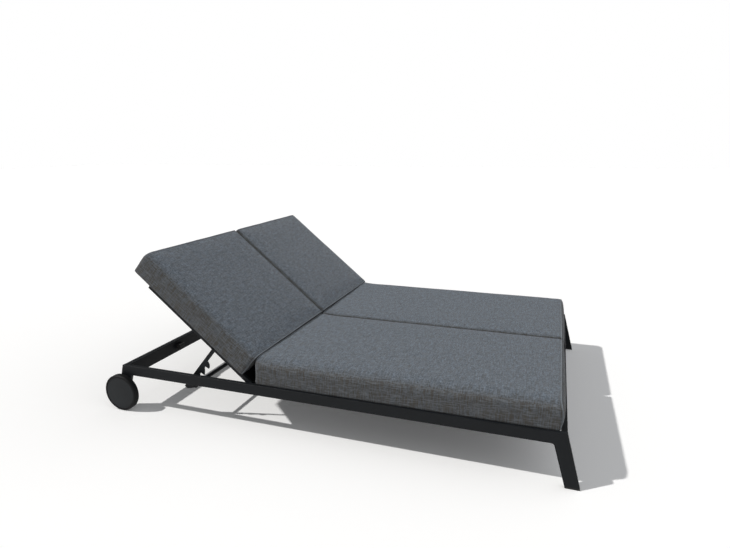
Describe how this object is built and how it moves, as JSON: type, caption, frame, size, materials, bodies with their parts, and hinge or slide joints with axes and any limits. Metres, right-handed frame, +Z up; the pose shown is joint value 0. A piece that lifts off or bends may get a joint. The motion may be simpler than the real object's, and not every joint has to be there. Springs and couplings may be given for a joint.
{
  "type": "double chaise lounger",
  "caption": "Low two-seat outdoor chaise on splayed legs and two wheels, with two backs that recline on notched props and four thick cushions.",
  "frame": {"origin": "on the floor, under the middle of the whole length and width", "axes": "+X across to the right seen from the foot end, +Y to the head end, +Z up"},
  "size_m": [1.5704, 2.1251, 0.7577],
  "materials": {
    "frame": "satin charcoal powder coat on aluminium",
    "cushion_fabric": "heathered blue-grey outdoor weave",
    "tyre": "smooth black tyre",
    "cap_plastic": "plain dark cap",
    "hub_plastic": "moulded black",
    "rubber": "matt black",
    "nylon": "black nylon",
    "fastener": "plain stainless steel"
  },
  "bodies": {
    "base": {"axle_left": "fastener", "axle_nuts": "fastener", "axle_right": "fastener", "bracket_screws_left": "fastener", "bracket_screws_right": "fastener", "catch_brackets_left": "frame", "catch_brackets_right": "frame", "catch_tube_left": "frame", "catch_tube_right": "frame", "centre_beam": "frame", "foot_glide_left": "rubber", "foot_glide_right": "rubber", "foot_rail": "frame", "front_leg_left": "frame", "front_leg_right": "frame", "head_rail": "frame", "hinge_bolts_left": "fastener", "hinge_bolts_right": "fastener", "hinge_washers_left": "nylon", "hinge_washers_right": "nylon", "rear_post_left": "frame", "rear_post_right": "frame", "rest_buffer_left": "rubber", "rest_buffer_right": "rubber", "seat_cushion_left": "cushion_fabric", "seat_cushion_right": "cushion_fabric", "seat_slats_left": "frame", "seat_slats_right": "frame", "side_rail_left": "frame", "side_rail_right": "frame", "wheel_spacers": "nylon"},
    "back_left": {"back_head_bar_left": "frame", "back_inner_bar_left": "frame", "back_outer_bar_left": "frame", "back_slats_left": "frame"},
    "prop_left": {"prop_inner_arm_left": "frame", "prop_outer_arm_left": "frame", "prop_rod_left": "frame"},
    "back_cushion_left": {"back_cushion_left": "cushion_fabric"},
    "wheel_left": {"tyre_left": "tyre", "wheel_bush_left": "nylon", "wheel_cap_left": "cap_plastic", "wheel_hub_left": "hub_plastic"},
    "back_right": {"back_head_bar_right": "frame", "back_inner_bar_right": "frame", "back_outer_bar_right": "frame", "back_slats_right": "frame"},
    "prop_right": {"prop_inner_arm_right": "frame", "prop_outer_arm_right": "frame", "prop_rod_right": "frame"},
    "back_cushion_right": {"back_cushion_right": "cushion_fabric"},
    "wheel_right": {"tyre_right": "tyre", "wheel_bush_right": "nylon", "wheel_cap_right": "cap_plastic", "wheel_hub_right": "hub_plastic"}
  },
  "joints": [
    {"name": "back_left_recline", "type": "hinge", "parent": "base", "child": "back_left", "pos_m": [-0.3755, 0.298, 0.2075], "axis": [1, 0, 0], "range_deg": [-39.2, 0]},
    {"name": "prop_left_fold", "type": "hinge", "parent": "back_left", "child": "prop_left", "pos_m": [-0.3755, 0.47546, 0.35224], "axis": [1, 0, 0], "range_deg": [0, 82.4]},
    {"name": "back_cushion_left_shift", "type": "slide", "parent": "back_left", "child": "back_cushion_left", "axis": [0, 0.7749, 0.632], "range_m": [-0.0846, 0]},
    {"name": "wheel_left_spin", "type": "hinge", "parent": "base", "child": "wheel_left", "pos_m": [-0.77, 0.975, 0.088], "axis": [1, 0, 0], "continuous": true},
    {"name": "back_right_recline", "type": "hinge", "parent": "base", "child": "back_right", "pos_m": [0.3755, 0.298, 0.2075], "axis": [1, 0, 0], "range_deg": [-39.2, 0]},
    {"name": "prop_right_fold", "type": "hinge", "parent": "back_right", "child": "prop_right", "pos_m": [0.3755, 0.47546, 0.35224], "axis": [1, 0, 0], "range_deg": [0, 82.4]},
    {"name": "back_cushion_right_shift", "type": "slide", "parent": "back_right", "child": "back_cushion_right", "axis": [0, 0.7749, 0.632], "range_m": [-0.0846, 0]},
    {"name": "wheel_right_spin", "type": "hinge", "parent": "base", "child": "wheel_right", "pos_m": [0.77, 0.975, 0.088], "axis": [1, 0, 0], "continuous": true}
  ],
  "couplings": [
    {"joint": "prop_left_fold", "follows": "back_left_recline", "ratio": -2.1},
    {"joint": "back_cushion_left_shift", "follows": "back_left_recline", "m_per_rad": 0.1235},
    {"joint": "prop_right_fold", "follows": "back_right_recline", "ratio": -2.1},
    {"joint": "back_cushion_right_shift", "follows": "back_right_recline", "m_per_rad": 0.1235}
  ]
}
